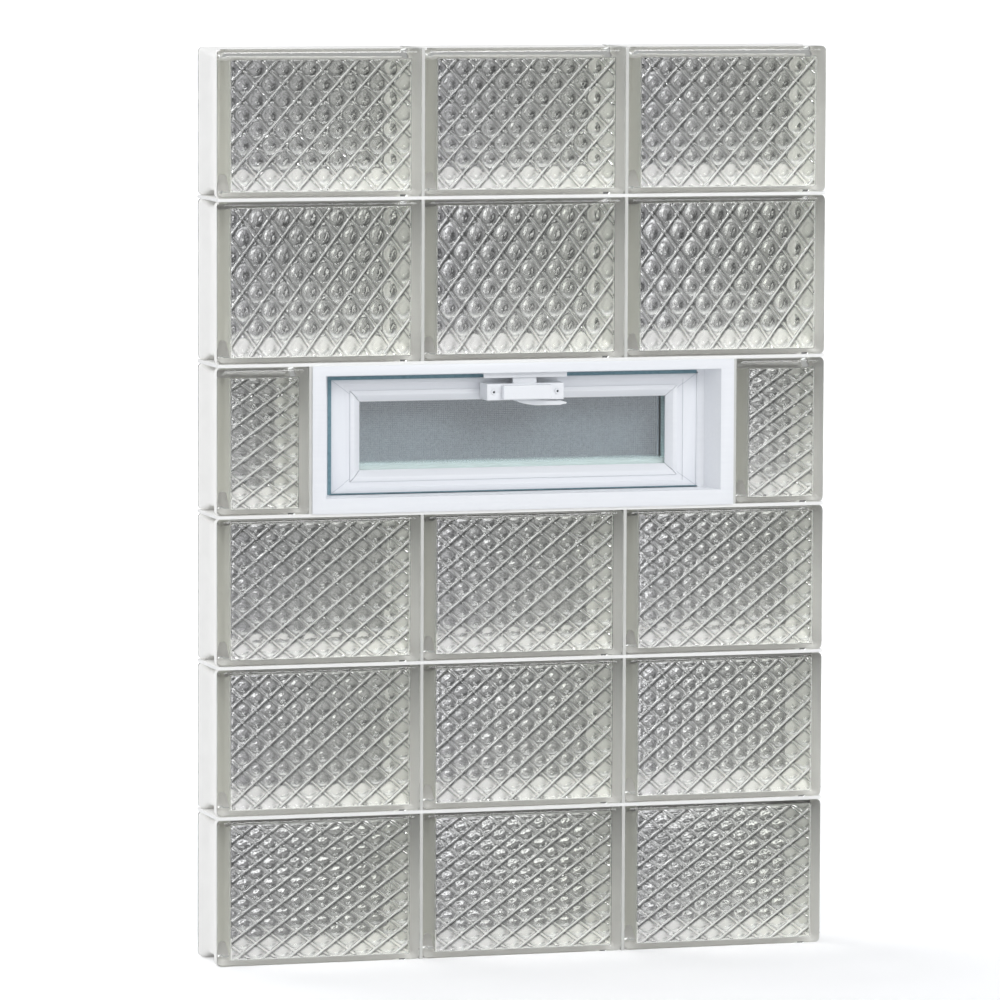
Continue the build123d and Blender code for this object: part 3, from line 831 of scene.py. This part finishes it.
# A raised screw head, a little tapered, with a round drive pressed into it
head_height, head_taper, head_round = 0.0012, 0.86, 0.0003
drive_inset, drive_depth = 0.44, 0.0009
recess_part = 1
for side in ("left", "right"):
    low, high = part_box(f"latch_screw_{side}")
    head_radius = (high[0] - low[0]) / 2
    screw = bmesh.new()
    bmesh.ops.create_cone(
        screw, cap_ends=True, segments=32, radius1=head_radius,
        radius2=head_radius * head_taper, depth=head_height,
    )
    bmesh.ops.rotate(
        screw, cent=(0, 0, 0), matrix=Matrix.Rotation(radians(90), 3, "X"), verts=screw.verts,
    )
    caps = [f for f in screw.faces if len(f.verts) > 4]
    front_face = min(caps, key=lambda f: f.calc_center_median().y)
    rim = list(front_face.edges)
    bmesh.ops.inset_region(screw, faces=[front_face], thickness=head_radius * drive_inset)
    recess_faces = bmesh.ops.extrude_discrete_faces(screw, faces=[front_face])["faces"]
    recess_verts = [v for f in recess_faces for v in f.verts]
    bmesh.ops.translate(screw, vec=(0, drive_depth, 0), verts=recess_verts)
    for f in recess_faces:
        f.material_index = recess_part
    bmesh.ops.bevel(
        screw, geom=rim, offset=head_round, segments=2, profile=0.5, affect="EDGES", material=-1,
    )
    seat = ((low[0] + high[0]) / 2, low[1] + head_height / 2, (low[2] + high[2]) / 2)
    bmesh.ops.translate(screw, vec=seat, verts=screw.verts)
    for f in screw.faces:
        f.smooth = len(f.verts) == 4
    screw_mesh = bpy.data.meshes.new("latch screw head")
    screw.to_mesh(screw_mesh)
    screw.free()
    screw_mesh.materials.append(white_acetal)
    screw_mesh.materials.append(recess_dark)
    screw_piece = bpy.data.objects.new(f"latch_screw_head_{side}", screw_mesh)
    bpy.context.scene.collection.objects.link(screw_piece)
    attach(screw_piece, "root")
    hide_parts(f"latch_screw_{side}")


# Fly screen
# Glass fibre cloth is pressed into a slim white aluminium frame with a spline, and the
# frame clips into the outside of the vent.

# Powder coat on the screen's frame is satin white with an orange peel of about 2 mm
powder_coat, tree = new_material("white powder coat")
place = add_node(tree, "ShaderNodeTexCoord")
peel = add_node(tree, "ShaderNodeTexNoise", {"Scale": 500.0, "Detail": 2.0}, {
    "Vector": place.outputs["Object"],
})
bump = add_node(tree, "ShaderNodeBump", {"Strength": 0.15, "Distance": 0.0002}, {
    "Height": peel.outputs["Fac"],
})
powder = add_node(tree, "ShaderNodeBsdfPrincipled", {
    "Base Color": linear("#ECEEF0"), "Roughness": 0.45,
}, {"Normal": bump.outputs["Normal"]})
finish_material(tree, powder.outputs[0])
soft_edged_copy("screen_frame", radius=0.0005).data.materials.append(powder_coat)

# Threads are 1.4 mm apart in the real cloth and 1.8 mm here so that the weave shows, and
# their grey coating varies over 2.4 mm, from thread to thread
screen_mesh, tree = new_material("woven glass fibre mesh")
place = add_node(tree, "ShaderNodeTexCoord")
threads_per_metre = 560.0
thread_half_width, thread_edge = 0.11, 0.17
scaled = add_node(tree, "ShaderNodeMapping", {"Scale": (threads_per_metre,) * 3}, {
    "Vector": place.outputs["Object"],
})
split = add_node(tree, "ShaderNodeSeparateXYZ", links={0: scaled.outputs[0]})
threads = []
for axis in ("X", "Z"):
    turn = add_node(tree, "ShaderNodeMath", {"operation": "PINGPONG", 1: 0.5}, {
        0: split.outputs[axis],
    })
    threads.append(add_node(tree, "ShaderNodeMapRange", {
        1: thread_half_width, 2: thread_edge, 3: 1.0, 4: 0.0,
    }, {0: turn.outputs[0]}))
weave = add_node(tree, "ShaderNodeMath", {"operation": "MAXIMUM"}, {
    0: threads[0].outputs[0], 1: threads[1].outputs[0],
})
fleck = add_node(tree, "ShaderNodeTexNoise", {"Scale": 420.0, "Detail": 3.0}, {
    "Vector": place.outputs["Object"],
})
shade = add_node(tree, "ShaderNodeValToRGB", links={"Fac": fleck.outputs["Fac"]})
shade.color_ramp.elements[0].position = 0.3
shade.color_ramp.elements[0].color = linear("#989BA1")
shade.color_ramp.elements[1].position = 0.7
shade.color_ramp.elements[1].color = linear("#B8BBC3")
thread = add_node(tree, "ShaderNodeBsdfPrincipled", {"Roughness": 0.7}, {
    "Base Color": shade.outputs[0],
})
gap = add_node(tree, "ShaderNodeBsdfTransparent")
mixed = add_node(tree, "ShaderNodeMixShader", links={
    0: weave.outputs[0], 1: gap.outputs[0], 2: thread.outputs[0],
})
finish_material(tree, mixed.outputs[0])
nodes["screen_cloth"].data.materials.clear()
nodes["screen_cloth"].data.materials.append(screen_mesh)


# Plain studio
# A pale floor, a large soft key lamp to the right of the camera, and weaker lamps to the left
# and behind. The surround is an even pale room for what scatters light, and white for the
# camera. Glass and gloss see it dark to the upper left and bright to the lower right.
floor_mesh = bpy.data.meshes.new("floor")
sheet = bmesh.new()
bmesh.ops.create_grid(sheet, x_segments=1, y_segments=1, size=60)
sheet.to_mesh(floor_mesh)
sheet.free()
floor = bpy.data.objects.new("floor", floor_mesh)
bpy.context.scene.collection.objects.link(floor)

# Matt paint. For the camera it brightens with distance, so that it keeps the shadow near the
# object and fades into the white surround. Rays that come through glass pass it
pale_floor, tree = new_material("pale floor")
paint = add_node(tree, "ShaderNodeBsdfDiffuse", {"Color": linear("#E6E6E6")})
place = add_node(tree, "ShaderNodeTexCoord")
distance = add_node(tree, "ShaderNodeVectorMath", {"operation": "LENGTH"}, {
    0: place.outputs["Object"],
})
far = add_node(tree, "ShaderNodeMapRange", {1: 0.4, 2: 3.0, 3: 0.22, 4: 0.7}, {
    0: distance.outputs["Value"],
})
glow = add_node(tree, "ShaderNodeEmission", {"Color": (1, 1, 1, 1)}, {"Strength": far.outputs[0]})
lit = add_node(tree, "ShaderNodeAddShader", links={0: paint.outputs[0], 1: glow.outputs[0]})
through = add_node(tree, "ShaderNodeBsdfTransparent")
path = add_node(tree, "ShaderNodeLightPath")
mixed = add_node(tree, "ShaderNodeMixShader", links={
    0: path.outputs["Is Camera Ray"], 1: paint.outputs[0], 2: lit.outputs[0],
})
mixed = add_node(tree, "ShaderNodeMixShader", links={
    0: path.outputs["Is Transmission Ray"], 1: mixed.outputs[0], 2: through.outputs[0],
})
finish_material(tree, mixed.outputs[0])
floor_mesh.materials.append(pale_floor)

# The surround that glass and gloss see falls from a bright window side at the lower right,
# through mid greys, to nearly black at the upper left
world = bpy.data.worlds.new("studio")
world.use_nodes = True
tree = world.node_tree
tree.nodes.clear()
room = add_node(tree, "ShaderNodeBackground", {"Color": linear("#F2F4F8"), "Strength": 0.75})
white = add_node(tree, "ShaderNodeBackground", {"Color": (1, 1, 1, 1), "Strength": 1.0})
path = add_node(tree, "ShaderNodeLightPath")
bent = add_node(tree, "ShaderNodeMath", {"operation": "MAXIMUM"}, {
    0: path.outputs["Is Glossy Ray"], 1: path.outputs["Is Transmission Ray"],
})
unscattered = add_node(tree, "ShaderNodeMath", {"operation": "LESS_THAN", 1: 0.5}, {
    0: path.outputs["Diffuse Depth"],
})
bent = add_node(tree, "ShaderNodeMath", {"operation": "MULTIPLY"}, {
    0: bent.outputs[0], 1: unscattered.outputs[0],
})
direction = add_node(tree, "ShaderNodeTexCoord")
upper_left = (-0.68, 0.0, 0.73)
toward_dark = add_node(tree, "ShaderNodeVectorMath", {
    "operation": "DOT_PRODUCT", 1: upper_left,
}, {0: direction.outputs["Generated"]})
spread = add_node(tree, "ShaderNodeMapRange", {1: -0.6, 2: 0.6, 3: 0.0, 4: 1.0}, {
    0: toward_dark.outputs["Value"],
})
walls = add_node(tree, "ShaderNodeValToRGB", links={"Fac": spread.outputs[0]})
walls.color_ramp.elements[0].position = 0.10
walls.color_ramp.elements[0].color = (1, 1, 1, 1)
walls.color_ramp.elements[1].position = 0.74
walls.color_ramp.elements[1].color = (0.02, 0.02, 0.025, 1)
for stop, level in ((0.19, 0.46), (0.38, 0.38), (0.52, 0.18)):
    walls.color_ramp.elements.new(stop).color = (level, level, level, 1)
window_side = add_node(tree, "ShaderNodeMapRange", {1: 0.02, 2: 0.14, 3: 1.6, 4: 1.0}, {
    0: spread.outputs[0],
})
backdrop = add_node(tree, "ShaderNodeBackground", links={
    "Color": walls.outputs[0], "Strength": window_side.outputs[0],
})
mixed = add_node(tree, "ShaderNodeMixShader", links={
    0: bent.outputs[0], 1: room.outputs[0], 2: backdrop.outputs[0],
})
mixed = add_node(tree, "ShaderNodeMixShader", links={
    0: path.outputs["Is Camera Ray"], 1: mixed.outputs[0], 2: white.outputs[0],
})
add_node(tree, "ShaderNodeOutputWorld", links={"Surface": mixed.outputs[0]})
bpy.context.scene.world = world

lamp_target = Vector((0, 0, 0.42))
for name, place, size, power in (
    ("key lamp", (0.9, -3.6, 2.35), 1.6, 58),
    ("side lamp", (-2.8, -0.1, 1.3), 1.6, 14),
    ("back lamp", (-1.0, 2.6, 2.4), 1.6, 40),
):
    lamp_data = bpy.data.lights.new(name, "AREA")
    lamp_data.size = size
    lamp_data.energy = power
    lamp = bpy.data.objects.new(name, lamp_data)
    lamp.location = place
    lamp.rotation_euler = (lamp_target - Vector(place)).to_track_quat("-Z", "Y").to_euler()
    bpy.context.scene.collection.objects.link(lamp)

# Camera, fitted to the joints and outer corners in the photograph
sensor_width, focal_ratio, camera_distance = 36, 7.552, 7.082
yaw, pitch, roll = radians(16.85), radians(5.33), radians(0.22)
target = Vector((0, 0, 0.425))
camera_data = bpy.data.cameras.new("camera")
camera_data.sensor_width = sensor_width
camera_data.lens = focal_ratio * sensor_width
camera_data.shift_x = -0.0125
camera_data.clip_end = 200
camera = bpy.data.objects.new("camera", camera_data)
bpy.context.scene.collection.objects.link(camera)
back = Vector((-sin(yaw) * cos(pitch), -cos(yaw) * cos(pitch), sin(pitch)))
camera.location = target + back * camera_distance
turned = back.to_track_quat("Z", "Y").to_matrix() @ Matrix.Rotation(roll, 3, "Z")
camera.rotation_euler = turned.to_euler()
bpy.context.scene.camera = camera

bpy.context.scene.view_settings.view_transform = "Standard"
